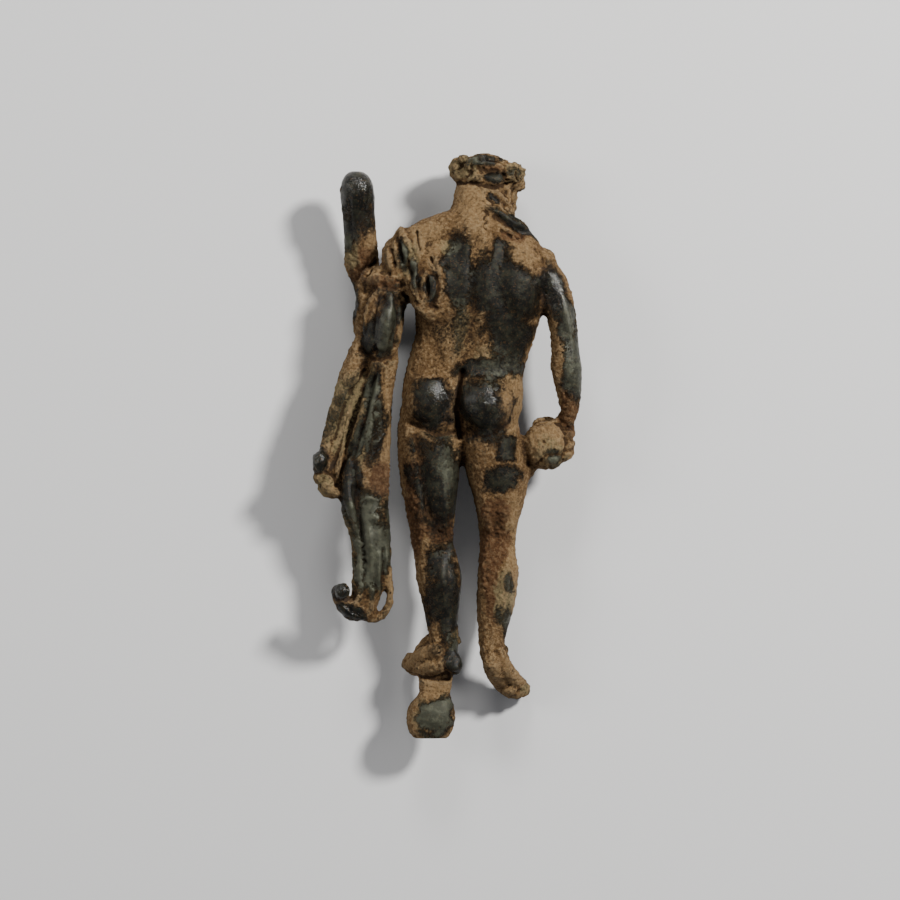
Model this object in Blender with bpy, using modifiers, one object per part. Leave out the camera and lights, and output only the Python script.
"""Small solid-cast bronze statuette of Hercules, laid on its front with its back up.

The nude figure turns its bearded head over its right shoulder, holds apples in its right
hand, and has the club and the lion's skin on its left arm. A casting tang is under the left
foot. All of it is one casting, so it is one solid.

The figure is carved standing up: +X to the right as seen from behind, +Y to the figure's
front, +Z up, with the sole of its left foot at zero. Its pose and carving are shares of its
height, in units of which there are 85 from the sole to the crown. It is then laid down.
"""

import math

import bmesh
import bpy
import numpy as np
from mathutils import Euler, Matrix, Vector
from mathutils.geometry import intersect_ray_tri

# Driving sizes, in metres.
FIGURE_HEIGHT = 0.085      # sole of the left foot to the crown
TANG_LENGTH = 0.009        # below the sole of the left foot
TANG_WIDTH = 0.0079        # the broad end of the tang, across the back view
TANG_THICKNESS = 0.0052    # the broad end of the tang, front to back
CLUB_LENGTH = 0.0315       # rounded head to the end of the handle
CLUB_WIDTH = 0.0057        # across the head of the club
HANDLE_WIDTH = 0.0024      # across the club's handle
APPLE_WIDTH = 0.0074       # across the apples in the right hand
FOLD_THICKNESS = 0.0056    # front to back of the skin's long inner fall

HEIGHT_UNITS = 85.0
UNIT = FIGURE_HEIGHT / HEIGHT_UNITS
VOXEL = 0.42 * UNIT        # grid that fuses the forms into one skin
SMOOTHING = 7              # passes that soften the fused skin
TRIANGLES = 9600           # of the finished solid
RING_SIDES = 20
FRONT = Vector((0.0, 1.0, 0.0))
UP = Vector((0.0, 0.0, 1.0))

BRONZE = (0.075, 0.062, 0.045, 1.0)


def clear_scene():
    for old in list(bpy.data.objects):
        bpy.data.objects.remove(old, do_unlink=True)


def curve_through(rows, steps=4):
    """Rows of numbers read from a smooth curve through the given rows."""
    rows = np.array(rows, float)
    padded = np.vstack([2 * rows[0] - rows[1], rows, 2 * rows[-1] - rows[-2]])
    read = []
    for a, b, c, d in zip(padded, padded[1:], padded[2:], padded[3:]):
        for t in np.arange(steps) / steps:
            read.append(0.5 * (2 * b + (c - a) * t + (2 * a - 5 * b + 4 * c - d) * t**2
                               + (3 * b - a - 3 * c + d) * t**3))
    read.append(rows[-1])
    return np.array(read)


def section_matrix(centre, along, through_axis, across, through):
    """Carries the unit circle to a section across a limb, in metres."""
    along = along.normalized()
    side = along.cross(through_axis).normalized()
    depth = side.cross(along)
    turned = Matrix((side * across, depth * through, along * across)).transposed()
    return Matrix.Translation(centre * UNIT) @ turned.to_4x4() @ Matrix.Scale(UNIT, 4)


def limb_sections(stations, through_axis):
    """The sections along a limb, with its two ends rounded over."""
    rows = curve_through(stations)
    centres = [Vector(row[:3]) for row in rows]
    sizes = [(max(row[3], 0.1), max(row[4], 0.1)) for row in rows]
    last = len(rows) - 1
    ways = [centres[min(i + 1, last)] - centres[max(i - 1, 0)] for i in range(last + 1)]
    body = [(c, w.normalized(), a, t) for c, w, (a, t) in zip(centres, ways, sizes)]
    angles = [math.radians(turn) for turn in (25, 50, 70, 85)]

    def dome(end, sign):
        centre, way, across, through = end
        reach = min(across, through)
        return [(centre + way * (sign * reach * math.sin(a)), way, across * math.cos(a), through * math.cos(a))
                for a in angles]

    whole = dome(body[0], -1)[::-1] + body + dome(body[-1], 1)
    return [section_matrix(c, w, through_axis, a, t) for c, w, a, t in whole]


def add_limb(bm, stations, through_axis=FRONT, squareness=2.0):
    """A closed round form along stations of x, y, z, half-width and half-depth.

    A squareness over 2 fills the section out towards its corners.
    """
    sections = limb_sections(stations, through_axis)
    ring = bmesh.ops.create_circle(bm, segments=RING_SIDES, radius=1.0)["verts"]
    for vert in ring:
        for axis in (0, 1):
            value = vert.co[axis]
            vert.co[axis] = math.copysign(abs(value) ** (2.0 / squareness), value)
    edges = list({edge for vert in ring for edge in vert.link_edges})
    bmesh.ops.transform(bm, matrix=sections[0], verts=ring)
    bmesh.ops.contextual_create(bm, geom=edges)
    for before, after in zip(sections, sections[1:]):
        made = bmesh.ops.extrude_edge_only(bm, edges=edges)["geom"]
        ring = {item for item in made if isinstance(item, bmesh.types.BMVert)}
        edges = [item for item in made if isinstance(item, bmesh.types.BMEdge)
                 and item.verts[0] in ring and item.verts[1] in ring]
        bmesh.ops.transform(bm, matrix=after @ before.inverted(), verts=list(ring))
    bmesh.ops.contextual_create(bm, geom=edges)


def add_ball(bm, centre, radii, turn=(0.0, 0.0, 0.0)):
    """An ellipsoid, turned by degrees about X, Y and Z."""
    turned = Euler([math.radians(angle) for angle in turn]).to_matrix().to_4x4()
    size = Matrix.Diagonal((*[radius * UNIT for radius in radii], 1.0))
    matrix = Matrix.Translation(Vector(centre) * UNIT) @ turned @ size
    bmesh.ops.create_icosphere(bm, subdivisions=3, radius=1.0, matrix=matrix)


def add_lobe(bm, start, end, across, through, through_axis=FRONT):
    """A spindle from start to end, such as a muscle, with its thickness in the middle."""
    start, end = Vector(start), Vector(end)
    matrix = section_matrix((start + end) / 2, end - start, through_axis, across, through)
    stretch = Matrix.Diagonal((1.0, 1.0, (end - start).length / 2 / across, 1.0))
    bmesh.ops.create_icosphere(bm, subdivisions=3, radius=1.0, matrix=matrix @ stretch)


# The body.

def add_torso(bm):
    add_limb(bm, [
        (2.4, -0.1, 71.8, 6.4, 3.2), (2.7, -0.3, 69.6, 9.4, 4.6), (3.0, -0.3, 66.6, 10.4, 5.6),
        (3.2, -0.1, 63.4, 10.6, 6.0), (3.2, 0.1, 60.4, 10.4, 5.9), (2.9, 0.5, 57.6, 9.9, 5.5),
        (2.5, 0.9, 55.0, 9.4, 5.1), (2.0, 1.0, 52.8, 9.1, 4.9), (1.4, 0.9, 50.6, 9.25, 5.0),
        (1.1, 0.6, 48.6, 9.5, 5.3), (0.8, 0.3, 46.3, 9.7, 5.5), (0.4, 0.4, 44.2, 9.6, 5.1),
        (0.1, 0.8, 42.6, 8.8, 4.2),
    ], squareness=2.25)
    for blade_top, blade_foot in ((-2.6, -1.4), (9.2, 7.8)):
        add_lobe(bm, (blade_top, -3.0, 71.0), (blade_foot, -3.4, 57.0), 4.4, 2.95)
    for x in (-0.4, 4.7):
        add_lobe(bm, (x + 0.6, -1.7, 66.0), (x - 0.9, -1.3, 43.0), 3.2, 3.2)


def add_shoulders(bm):
    add_lobe(bm, (2.2, -2.6, 76.5), (2.8, -3.6, 62.0), 3.4, 2.6)
    add_lobe(bm, (4.2, -1.2, 75.0), (-11.5, -0.6, 68.4), 2.8, 3.1)
    add_lobe(bm, (2.6, -1.2, 75.4), (14.2, -0.6, 66.2), 2.6, 3.0)
    add_ball(bm, (-9.0, -0.1, 67.6), (3.2, 3.6, 3.9), (0, -20, 0))
    add_ball(bm, (12.8, -0.3, 65.6), (2.8, 3.4, 4.0), (0, 26, 0))


def add_chest_and_belly(bm):
    for x in (-2.2, 8.0):
        add_ball(bm, (x, 3.9, 64.4), (4.8, 2.7, 3.6))
    for z in (59.0, 56.2, 53.4):
        add_ball(bm, (1.2, 4.3, z), (2.0, 1.9, 1.5))
        add_ball(bm, (4.4, 4.3, z), (2.0, 1.9, 1.5))
    add_ball(bm, (1.5, 3.7, 48.0), (5.2, 2.6, 5.0))
    for x in (-5.8, 9.2):
        add_lobe(bm, (x, 1.4, 54.0), (x * 0.95, 1.6, 46.5), 1.7, 3.2)
    add_ball(bm, (0.3, 5.0, 41.0), (1.5, 1.5, 1.5))
    add_lobe(bm, (0.3, 5.9, 42.4), (0.4, 6.9, 39.6), 0.75, 0.8)


def add_buttocks(bm):
    add_ball(bm, (-4.4, -2.2, 45.2), (4.0, 3.9, 5.0), (0, 8, 0))
    add_ball(bm, (4.3, -2.2, 44.8), (4.4, 3.9, 5.4), (0, -6, 0))


def add_left_leg(bm):
    """The standing leg, seen at the left from behind."""
    add_limb(bm, [
        (-4.6, 0.4, 43.6, 4.6, 4.6), (-4.7, 0.3, 39.2, 5.0, 5.1), (-4.6, 0.3, 35.5, 4.9, 5.0),
        (-4.5, 0.4, 32.3, 4.7, 4.6), (-4.3, 0.6, 29.1, 4.25, 4.2), (-4.2, 0.8, 25.9, 3.75, 3.8),
        (-4.1, 0.8, 23.5, 3.35, 3.5), (-3.8, 0.6, 21.1, 3.3, 3.4), (-3.3, 0.2, 18.7, 3.6, 3.5),
        (-2.9, 0.0, 16.3, 3.7, 3.5), (-2.7, 0.1, 13.1, 3.15, 3.0), (-2.5, 0.3, 9.9, 2.6, 2.5),
        (-2.3, 0.4, 7.3, 2.35, 2.3), (-2.3, 0.5, 4.6, 2.4, 2.3),
    ])
    add_lobe(bm, (-5.8, -1.4, 44.0), (-5.4, -1.2, 23.0), 2.5, 2.8)
    add_lobe(bm, (-2.8, -1.4, 44.0), (-2.5, -1.2, 23.0), 2.3, 2.8)
    add_lobe(bm, (-5.2, 2.7, 40.0), (-4.6, 3.2, 25.5), 3.3, 2.3)
    add_ball(bm, (-4.1, 3.6, 23.4), (1.9, 1.2, 2.1))
    add_lobe(bm, (-4.7, -1.2, 22.5), (-3.9, -0.7, 11.5), 1.9, 2.1)
    add_lobe(bm, (-1.7, -1.3, 22.8), (-1.9, -0.9, 10.5), 2.0, 2.2)


def add_right_leg(bm):
    """The free leg, a little forward, seen at the right from behind."""
    add_limb(bm, [
        (4.9, 0.5, 43.6, 4.4, 4.6), (5.3, 0.5, 39.2, 4.7, 5.1), (5.8, 0.8, 35.5, 4.8, 5.0),
        (6.5, 1.1, 32.4, 4.85, 4.7), (6.7, 1.5, 29.9, 4.25, 4.3), (6.6, 2.0, 27.5, 3.7, 3.9),
        (6.5, 2.3, 25.1, 3.1, 3.6), (6.4, 2.4, 22.7, 2.85, 3.4), (6.4, 2.1, 20.8, 2.9, 3.3),
        (6.5, 1.7, 18.7, 3.15, 3.4), (6.4, 1.4, 16.3, 3.25, 3.4), (6.1, 1.3, 13.1, 3.1, 3.1),
        (5.8, 1.2, 9.9, 2.6, 2.6), (5.5, 1.1, 7.5, 2.25, 2.3), (5.5, 1.1, 4.8, 2.05, 2.3),
    ])
    add_lobe(bm, (3.6, -1.2, 44.0), (5.5, 0.2, 23.0), 2.3, 2.8)
    add_lobe(bm, (6.4, -1.2, 44.0), (7.8, 0.3, 23.0), 2.5, 2.8)
    add_lobe(bm, (6.0, 3.2, 39.0), (6.6, 4.6, 25.5), 3.2, 2.3)
    add_ball(bm, (6.5, 5.1, 22.8), (1.8, 1.2, 2.1))
    add_lobe(bm, (5.2, 0.5, 22.2), (5.1, 0.4, 11.5), 1.7, 2.0)
    add_lobe(bm, (7.8, 0.4, 22.0), (7.1, 0.4, 10.5), 1.8, 2.0)


def add_feet(bm):
    add_limb(bm, [
        (-0.5, -0.7, 2.9, 1.5, 1.9), (-2.2, 1.2, 3.1, 2.0, 2.3), (-4.2, 3.6, 3.1, 2.0, 2.0),
        (-6.0, 5.8, 2.8, 2.1, 1.6), (-7.3, 7.4, 2.6, 2.0, 1.4),
    ], through_axis=UP)
    add_lobe(bm, (-2.2, 0.0, 7.4), (-6.4, 5.6, 3.0), 2.0, 2.2, through_axis=UP)
    add_limb(bm, [
        (5.5, -0.4, 3.2, 1.6, 1.9), (6.2, 1.6, 2.3, 2.0, 2.1), (7.1, 3.8, 0.7, 2.1, 1.8),
        (8.2, 6.0, -0.8, 2.2, 1.5), (9.3, 7.7, -1.9, 2.0, 1.2),
    ], through_axis=UP)
    add_lobe(bm, (5.6, 0.2, 6.0), (8.2, 5.6, -0.6), 1.8, 1.9, through_axis=UP)


def add_tang(bm):
    """The casting tang under the left foot: a short neck and a broad, rounded end."""
    length = TANG_LENGTH / UNIT + 0.3
    wide, thick = TANG_WIDTH / 2 / UNIT, TANG_THICKNESS / 2 / UNIT
    add_limb(bm, [
        (-3.5, 2.0, 1.6, 0.74 * wide, 0.80 * thick), (-3.6, 1.9, -0.12 * length, 0.64 * wide, 0.76 * thick),
        (-3.7, 1.8, -0.24 * length, 0.66 * wide, 0.80 * thick), (-3.9, 1.7, -0.42 * length, 0.90 * wide, 0.95 * thick),
        (-4.3, 1.6, -0.62 * length, wide, thick), (-4.4, 1.6, -0.80 * length, 0.92 * wide, 0.9 * thick),
    ], squareness=2.7)


# Arms, hands, club and apples.

def add_right_arm(bm):
    add_limb(bm, [
        (11.6, -0.3, 66.8, 2.0, 2.6), (14.1, -0.5, 64.6, 2.8, 2.9), (15.8, -0.7, 61.3, 2.6, 2.7),
        (16.7, -1.1, 57.5, 2.35, 2.4), (17.1, -1.5, 53.8, 2.3, 2.3), (17.3, -1.4, 50.2, 2.55, 2.3),
        (17.7, -0.9, 47.2, 2.2, 2.0), (17.9, -0.1, 44.4, 1.6, 1.7), (17.6, 0.9, 42.2, 1.35, 1.6),
    ])
    add_lobe(bm, (15.2, -1.5, 65.0), (17.0, -2.0, 54.5), 1.9, 1.7)
    add_lobe(bm, (15.2, 0.5, 63.5), (16.6, 0.6, 54.0), 1.7, 1.6)


def add_right_hand(bm):
    """The hand hangs at the thigh with its palm back, round the apples."""
    apple = APPLE_WIDTH / 2 / UNIT
    add_ball(bm, (14.2, 0.4, 37.9), (1.02 * apple, 0.92 * apple, 1.06 * apple))
    add_limb(bm, [
        (17.5, 0.9, 42.6, 1.2, 1.5), (17.2, 2.4, 40.8, 1.7, 1.4), (16.4, 3.8, 38.6, 2.1, 1.4),
        (15.2, 4.1, 36.8, 1.9, 1.2),
    ], through_axis=UP)
    for low in (39.8, 38.1, 36.5):
        add_limb(bm, [
            (16.0, 3.8, low, 0.8, 0.8), (17.4, 2.5, low - 0.3, 0.8, 0.8),
            (17.7, 0.9, low - 0.4, 0.75, 0.75), (17.4, -0.5, low - 0.5, 0.6, 0.6),
        ], through_axis=UP)
    add_limb(bm, [
        (15.8, 3.6, 41.2, 0.9, 0.9), (14.0, 3.2, 41.7, 0.9, 0.9), (12.6, 1.8, 41.3, 0.8, 0.8),
    ], through_axis=UP)
    add_lobe(bm, (12.4, 1.6, 36.4), (11.0, 1.8, 32.4), 1.0, 1.4)


def add_left_arm(bm):
    add_limb(bm, [
        (-8.4, 0.0, 67.8, 2.8, 3.1), (-10.0, 0.1, 63.6, 2.6, 3.0), (-11.2, 0.2, 59.4, 2.5, 2.8),
        (-12.2, 0.4, 55.4, 2.4, 2.6), (-12.6, 1.2, 54.0, 2.3, 2.4),
    ])
    add_limb(bm, [
        (-12.6, 0.8, 54.4, 2.2, 2.2), (-13.4, 3.2, 55.4, 2.1, 2.1), (-14.2, 5.2, 56.6, 1.7, 1.8),
        (-14.7, 6.4, 57.6, 1.5, 1.5),
    ], through_axis=UP)


def club_axis(share):
    """A point on the club, from its rounded head at 0 to the end of its handle at 1."""
    head, way = Vector((-16.3, 0.6, 81.5)), Vector((0.070, 0.27, -0.960))
    return head + way * (share * CLUB_LENGTH / UNIT)


def add_club(bm):
    head, handle = CLUB_WIDTH / 2 / UNIT, HANDLE_WIDTH / 2 / UNIT
    profile = ((0.08, 0.97 * head), (0.13, 1.0 * head), (0.20, 0.96 * head), (0.30, 0.94 * head),
               (0.42, 0.97 * head), (0.50, 0.95 * head), (0.58, 1.55 * handle), (0.67, 1.2 * handle),
               (0.84, handle), (0.97, 1.1 * handle))
    add_limb(bm, [(*club_axis(share), radius, radius) for share, radius in profile])


def add_left_hand(bm):
    """The hand shuts round the handle of the club."""
    grip = club_axis(0.79)
    handle = HANDLE_WIDTH / 2 / UNIT
    add_ball(bm, grip + Vector((0.7, -0.4, 0.2)), (1.6, 1.8, 2.4), (-16, 0, 0))
    for rise in (-1.65, -0.55, 0.55, 1.65):
        knuckle = grip + Vector((-0.07, -0.27, 0.96)) * rise
        turns = [math.radians(angle) for angle in range(-40, 221, 52)]
        around = handle + 0.45
        add_limb(bm, [(*(knuckle + Vector((math.cos(a), math.sin(a), 0)) * around), 0.6, 0.6) for a in turns],
                 through_axis=UP)


# The head.

HEAD = Vector((4.5, 3.9, 79.7))
FACING = Vector((0.80, 0.56, -0.22)).normalized()
HEAD_SIDE = FACING.cross(UP).normalized()
HEAD_UP = HEAD_SIDE.cross(FACING)


def on_head(forward, side, up):
    """A point of the head, in its own turned and bowed axes."""
    return HEAD + FACING * forward + HEAD_SIDE * side + HEAD_UP * up


def head_lobe(bm, start, end, across, through):
    add_lobe(bm, on_head(*start), on_head(*end), across, through, through_axis=FACING)


def add_head(bm):
    add_limb(bm, [
        (2.8, -0.6, 70.5, 6.0, 4.4), (2.9, -0.2, 73.0, 4.9, 4.2), (3.1, 0.6, 75.6, 4.1, 4.0),
        (3.5, 1.7, 78.0, 3.9, 3.9), (4.0, 3.0, 80.4, 3.8, 3.8),
    ])
    add_lobe(bm, on_head(-5.0, 0, 0.4), on_head(5.0, 0, 0.4), 4.1, 4.6, through_axis=HEAD_UP)
    head_lobe(bm, (2.2, 0, 3.2), (3.0, 0, -5.4), 3.1, 2.6)
    for side in (-1, 1):
        head_lobe(bm, (4.2, side * 0.3, 1.35), (3.7, side * 2.9, 1.0), 0.55, 0.9)
        head_lobe(bm, (3.6, side * 1.7, 0.4), (3.4, side * 2.1, -1.8), 1.2, 1.2)
        head_lobe(bm, (5.0, side * 0.2, -1.6), (3.9, side * 2.5, -2.9), 0.6, 0.7)
    head_lobe(bm, (4.7, 0, 1.4), (5.6, 0, -1.3), 0.75, 0.8)
    head_lobe(bm, (4.6, 0, -2.3), (4.6, 0, -3.1), 0.9, 0.6)


def add_beard(bm):
    head_lobe(bm, (2.6, 0, -0.6), (3.6, 0, -6.6), 3.3, 2.5)
    for side, drop in ((-2.1, -4.6), (-1.1, -6.0), (0.0, -6.7), (1.1, -6.0), (2.1, -4.6)):
        head_lobe(bm, (3.9 - abs(side) * 0.4, side * 1.15, -2.2), (3.9, side * 0.8, drop), 0.8, 1.0)
    for side in (-1, 1):
        head_lobe(bm, (0.8, side * 3.5, 0.6), (2.4, side * 2.9, -4.4), 1.1, 1.1)


def add_hair(bm):
    """Short locks, with a wreath round them that is tied behind."""
    turns = 17
    for step in range(turns):
        angle = 2 * math.pi * step / turns
        forward, side = 5.25 * math.cos(angle), 4.5 * math.sin(angle)
        rise = 1.7 - 0.28 * forward * 0.35
        big = 1.35 if step % 2 else 1.15
        add_ball(bm, on_head(forward, side, rise), (big, big, big * 0.95))
    add_ball(bm, (0.5, 2.2, 82.0), (2.0, 1.6, 2.1))
    add_lobe(bm, (2.0, -0.9, 80.6), (7.6, 0.2, 80.0), 1.1, 1.2)
    add_lobe(bm, (2.6, -1.0, 79.4), (7.0, -0.2, 79.0), 0.9, 1.2)


def add_ribbons(bm):
    """The two ends of the wreath's tie, on the neck and along the right shoulder."""
    add_limb(bm, [
        (3.8, -2.2, 78.4, 0.5, 0.5), (5.2, -2.3, 77.2, 0.55, 0.5), (6.6, -1.8, 75.9, 0.55, 0.5),
        (7.6, -1.2, 74.6, 0.5, 0.5),
    ])
    add_limb(bm, [
        (4.2, -3.2, 75.9, 0.65, 0.6), (6.6, -2.6, 75.0, 0.75, 0.6), (9.0, -2.0, 73.4, 0.7, 0.6),
        (11.4, -1.6, 71.6, 0.6, 0.5), (12.8, -1.6, 70.2, 0.5, 0.4),
    ])


# The lion's skin on the left arm.

def add_skin_on_arm(bm):
    add_limb(bm, [
        (-10.6, -0.6, 65.4, 2.2, 2.6), (-11.1, -0.9, 62.0, 2.7, 3.2), (-11.6, -1.0, 58.6, 3.1, 3.5),
        (-12.1, -0.8, 55.4, 3.0, 3.6), (-12.6, -0.3, 52.4, 2.8, 3.4),
    ])
    add_limb(bm, [
        (-13.0, 0.4, 56.6, 2.3, 2.6), (-13.4, 3.0, 56.2, 2.2, 2.8), (-14.0, 5.2, 56.6, 1.7, 2.3),
    ], through_axis=UP)
    add_lobe(bm, (-14.6, 0.6, 66.0), (-15.0, 1.2, 54.0), 1.7, 2.4)


def add_inner_fall(bm):
    """The long fall of the skin beside the thigh."""
    thick = FOLD_THICKNESS / 2 / UNIT
    add_limb(bm, [
        (-11.6, 0.1, 53.4, 2.1, 1.10 * thick), (-11.7, 0.1, 50.6, 2.1, 1.05 * thick),
        (-12.5, 0.1, 47.4, 2.3, thick), (-13.0, 0.0, 44.2, 2.5, thick), (-13.9, 0.0, 39.4, 3.2, thick),
        (-14.5, 0.0, 34.6, 3.6, thick), (-14.8, 0.0, 30.8, 3.8, thick), (-14.8, 0.0, 27.8, 3.8, 0.95 * thick),
        (-14.2, 0.0, 25.0, 3.5, 0.90 * thick), (-13.8, 0.1, 22.2, 3.15, 0.85 * thick),
        (-13.7, 0.1, 19.4, 3.1, 0.82 * thick), (-14.2, 0.1, 17.2, 2.7, 0.80 * thick),
        (-14.5, 0.1, 14.8, 2.5, 0.75 * thick),
    ], squareness=2.3)


def add_outer_fall(bm):
    """The shorter fall: a rolled edge, the thinner field inside it, and the paw at its end."""
    add_limb(bm, [
        (-14.9, 0.8, 54.6, 1.6, 2.4), (-16.4, 0.4, 51.2, 1.7, 2.3), (-17.7, 0.2, 48.0, 1.55, 2.2),
        (-18.5, 0.1, 45.3, 1.5, 2.1), (-19.4, 0.1, 42.7, 1.4, 2.0), (-20.0, 0.1, 40.2, 1.3, 1.9),
        (-20.7, 0.1, 37.6, 1.3, 1.8),
    ])
    add_limb(bm, [
        (-13.6, 0.8, 53.0, 2.0, 1.9), (-15.4, 0.8, 49.6, 2.2, 1.8), (-16.6, 0.8, 45.8, 2.6, 1.8),
        (-18.0, 0.8, 42.0, 2.6, 1.7), (-18.9, 0.8, 38.0, 2.6, 1.7), (-19.1, 0.8, 34.2, 2.6, 1.7),
        (-19.2, 0.9, 31.4, 2.0, 1.6),
    ])
    add_ball(bm, (-21.8, -0.3, 35.0), (1.45, 1.8, 2.3), (0, 10, 0))
    add_ball(bm, (-20.3, 0.4, 31.5), (2.2, 2.1, 2.4), (0, -30, 0))


def add_curled_end(bm):
    """The skin's foot curls up to a round knob on one side and leaves a loop on the other."""
    add_limb(bm, [
        (-14.4, 0.1, 15.4, 2.3, 1.9), (-14.9, 0.0, 12.8, 2.2, 1.9), (-16.3, -0.3, 11.4, 1.8, 1.8),
        (-17.8, -0.7, 12.0, 1.5, 1.6), (-18.8, -1.2, 13.6, 1.3, 1.4),
    ])
    add_ball(bm, (-19.0, -1.5, 14.5), (1.45, 1.5, 1.4))
    add_limb(bm, [
        (-11.6, 0.2, 21.0, 0.8, 1.3), (-11.0, 0.2, 17.4, 0.6, 1.2), (-10.8, 0.2, 14.6, 0.55, 1.1),
        (-11.1, 0.2, 12.2, 0.6, 1.1), (-12.3, 0.2, 10.5, 0.7, 1.2), (-14.2, 0.1, 10.3, 0.9, 1.3),
    ])


def add_skin_at_shoulder(bm):
    """Locks and a paw of the skin where it hangs over the shoulder."""
    add_lobe(bm, (-9.2, -0.4, 72.8), (-8.2, -3.0, 65.0), 1.6, 2.2)
    add_lobe(bm, (-6.8, -1.4, 72.4), (-5.8, -3.9, 65.0), 1.5, 2.0)
    add_lobe(bm, (-10.9, -0.2, 70.6), (-10.0, -2.6, 63.6), 1.5, 2.3)
    add_lobe(bm, (-8.3, -2.8, 67.5), (-3.8, -4.0, 57.5), 2.2, 2.2)
    add_lobe(bm, (-15.4, 0.2, 65.4), (-10.8, -1.6, 63.4), 1.9, 2.2)
    add_lobe(bm, (-6.4, 2.0, 71.5), (-7.6, 4.6, 62.5), 2.2, 1.9)
    add_lobe(bm, (-9.6, 1.6, 70.0), (-10.8, 4.4, 60.5), 2.0, 1.9)


FORMS = (add_torso, add_shoulders, add_chest_and_belly, add_buttocks, add_left_leg, add_right_leg,
         add_feet, add_tang, add_right_arm, add_right_hand, add_left_arm, add_club, add_left_hand,
         add_head, add_beard, add_hair, add_ribbons, add_skin_on_arm, add_inner_fall,
         add_outer_fall, add_curled_end, add_skin_at_shoulder)


def evaluated_mesh(obj):
    graph = bpy.context.evaluated_depsgraph_get()
    return bpy.data.meshes.new_from_object(obj.evaluated_get(graph))


def all_forms():
    """Every form in one mesh."""
    mesh = bpy.data.meshes.new("forms")
    gathered = bmesh.new()
    for add_form in FORMS:
        bm = bmesh.new()
        add_form(bm)
        bmesh.ops.recalc_face_normals(bm, faces=bm.faces)
        bm.to_mesh(mesh)
        bm.free()
        gathered.from_mesh(mesh)
    gathered.to_mesh(mesh)
    gathered.free()
    return mesh


def fused_forms():
    """The forms fused into one softened skin."""
    obj = bpy.data.objects.new("forms", all_forms())
    bpy.context.scene.collection.objects.link(obj)
    fuse = obj.modifiers.new("fuse", "REMESH")
    fuse.mode = "VOXEL"
    fuse.voxel_size = VOXEL
    soften = obj.modifiers.new("soften", "SMOOTH")
    soften.factor = 0.5
    soften.iterations = SMOOTHING
    skin = evaluated_mesh(obj)
    bpy.data.objects.remove(obj, do_unlink=True)
    return skin


def distance_to_line(points, line):
    """How far each point is from the line through some points."""
    nearest = np.full(len(points), np.inf)
    for start, end in zip(line, line[1:]):
        run = end - start
        share = np.clip((points - start) @ run / max(run @ run, 1e-12), 0, 1)
        nearest = np.minimum(nearest, np.linalg.norm(points - start - share[:, None] * run, axis=1))
    return nearest


# Each stroke is a line of points across and up, its width and its depth, all in units. A
# depth below zero is a ridge.
BACK_STROKES = (
    (((2.9, 71.0), (2.7, 67.0), (2.6, 61.5), (1.9, 56.0), (0.6, 51.0)), 1.1, 0.6),
    (((0.6, 49.6), (-0.1, 46.0), (0.0, 42.5), (0.3, 39.6)), 0.65, 1.35),
    (((-7.6, 41.6), (-3.6, 40.2), (-0.6, 40.6)), 0.8, 0.5),
    (((0.4, 40.4), (4.1, 40.0), (7.6, 41.2)), 0.9, 0.35),
    (((-2.2, 68.4), (-1.2, 63.6), (-2.8, 59.4)), 1.2, 0.3),
    (((7.4, 68.0), (6.4, 63.6), (8.2, 59.2)), 1.2, 0.3),
    (((-6.6, 40.4), (-5.6, 34.0), (-4.6, 27.0)), 0.7, 0.5),
    (((-3.6, 25.8), (-2.9, 22.8)), 1.1, 0.6),
    (((6.0, 25.4), (6.2, 22.4)), 1.1, 0.5),
    (((-13.0, 53.5), (-15.3, 49.8), (-18.0, 45.4), (-19.8, 41.2), (-20.2, 38.0)), 0.6, 0.7),
    (((-14.0, 49.4), (-15.6, 44.5), (-17.4, 39.1), (-18.3, 34.4), (-18.6, 31.0)), 0.6, 0.8),
    (((-15.0, 53.4), (-12.8, 52.2), (-10.2, 52.6)), 0.8, 0.3),
    (((-15.9, 31.0), (-16.2, 27.0), (-15.3, 21.6), (-15.4, 17.4)), 0.8, 0.45),
    (((-8.0, 2.0), (-4.0, 1.4), (-0.5, 1.0)), 0.5, 0.6),
)
FRONT_STROKES = (
    (((2.9, 67.0), (2.9, 61.0), (2.6, 55.0), (1.6, 49.0)), 0.9, 0.4),
    (((-6.4, 61.6), (-2.0, 60.8), (2.9, 61.6), (8.0, 60.8), (12.2, 61.6)), 0.7, 0.5),
    (((-7.8, 47.2), (-3.8, 43.4), (-0.6, 41.2)), 0.7, 0.6),
    (((9.4, 47.2), (4.6, 43.4), (1.2, 41.2)), 0.7, 0.6),
)


def numbers(mesh, name):
    """The places or the normals of a mesh's points, in rows of three."""
    values = np.empty(len(mesh.vertices) * 3, np.float32)
    mesh.vertices.foreach_get(name, values)
    return values.reshape(-1, 3).astype(float)


def move_points(mesh, points):
    mesh.vertices.foreach_set("co", points.astype(np.float32).ravel())
    mesh.update()


def carved(mesh):
    """Cuts the strokes into the skin, along its normals."""
    points = numbers(mesh, "co") / UNIT
    normals = numbers(mesh, "normal")
    depth = np.zeros(len(points))
    for strokes, facing in ((BACK_STROKES, -normals[:, 1]), (FRONT_STROKES, normals[:, 1])):
        shows = np.clip(facing * 2.5, 0, 1)
        for line, width, cut in strokes:
            near = distance_to_line(points[:, ::2], curve_through(line))
            depth += shows * cut * np.exp(-(near / width) ** 2)
    move_points(mesh, (points - normals * depth[:, None]) * UNIT)
    return mesh


def flat_ended(mesh):
    """Cuts the end of the tang flat."""
    points = numbers(mesh, "co")
    points[:, 2] = np.where(points[:, 2] < -0.985 * TANG_LENGTH, -TANG_LENGTH, points[:, 2])
    move_points(mesh, points)
    return mesh


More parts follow.
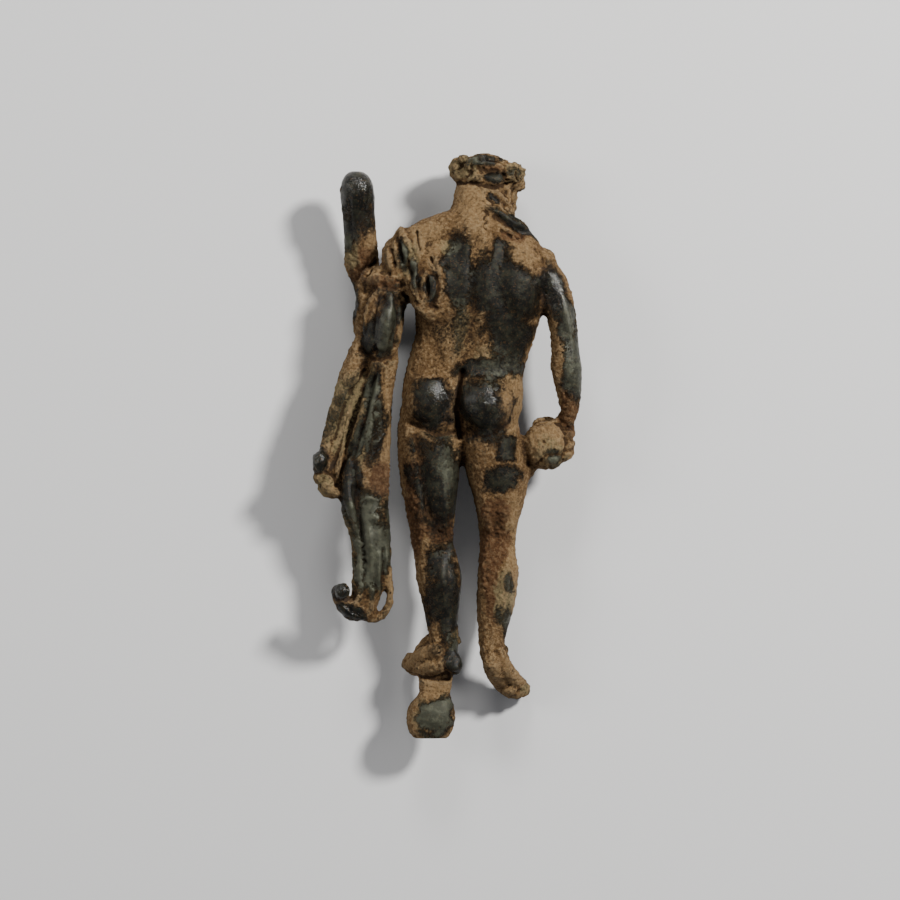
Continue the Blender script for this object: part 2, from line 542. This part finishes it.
def bronze_material():
    material = bpy.data.materials.new("bronze")
    material.use_nodes = True
    shader = material.node_tree.nodes["Principled BSDF"]
    shader.inputs["Base Color"].default_value = BRONZE
    shader.inputs["Metallic"].default_value = 0.8
    shader.inputs["Roughness"].default_value = 0.5
    return material


def make_statuette():
    statuette = bpy.data.objects.new("statuette", flat_ended(carved(fused_forms())))
    collection = bpy.data.collections.new("hercules_statuette")
    bpy.context.scene.collection.children.link(collection)
    collection.objects.link(statuette)
    statuette.data.materials.append(bronze_material())
    full = sum(len(face.vertices) - 2 for face in statuette.data.polygons)
    thin_out = statuette.modifiers.new("thin_out", "DECIMATE")
    thin_out.ratio = TRIANGLES / full
    finished = flat_ended(evaluated_mesh(statuette))
    statuette.modifiers.clear()
    statuette.data = finished
    return statuette


def centre_of_mass(mesh):
    """The centre of the solid inside the mesh."""
    mesh.calc_loop_triangles()
    corners = np.array([[mesh.vertices[i].co for i in triangle.vertices] for triangle in mesh.loop_triangles])
    volumes = np.linalg.det(corners) / 6.0
    return Vector((corners.sum(axis=1) / 4.0 * volumes[:, None]).sum(axis=0) / volumes.sum())


def resting_face(mesh):
    """The way the figure faces when it lies on the three points in front of its centre of mass."""
    centre = centre_of_mass(mesh)
    bm = bmesh.new()
    bm.from_mesh(mesh)
    hull = bmesh.ops.convex_hull(bm, input=bm.verts)["geom"]
    faces = [item for item in hull if isinstance(item, bmesh.types.BMFace)]
    normal = None
    for face in faces:
        face.normal_update()
        corners = [vert.co for vert in face.verts][:3]
        if face.normal.y > 0.5 and intersect_ray_tri(*corners, FRONT, centre):
            normal = face.normal.copy()
    bm.free()
    return normal


def lay_down(statuette):
    """Lays the figure on its front, centred on the origin, with its lowest points on the floor."""
    facing = Matrix.Rotation(math.radians(-90.0), 4, "X")
    down = facing @ resting_face(statuette.data)
    turn = down.rotation_difference(-UP).to_matrix().to_4x4() @ facing
    corners = np.array([turn @ vertex.co for vertex in statuette.data.vertices])
    low, high = corners.min(axis=0), corners.max(axis=0)
    drop = Vector((-(low[0] + high[0]) / 2, -(low[1] + high[1]) / 2, -low[2]))
    statuette.matrix_world = Matrix.Translation(drop) @ turn


def main():
    clear_scene()
    lay_down(make_statuette())


main()
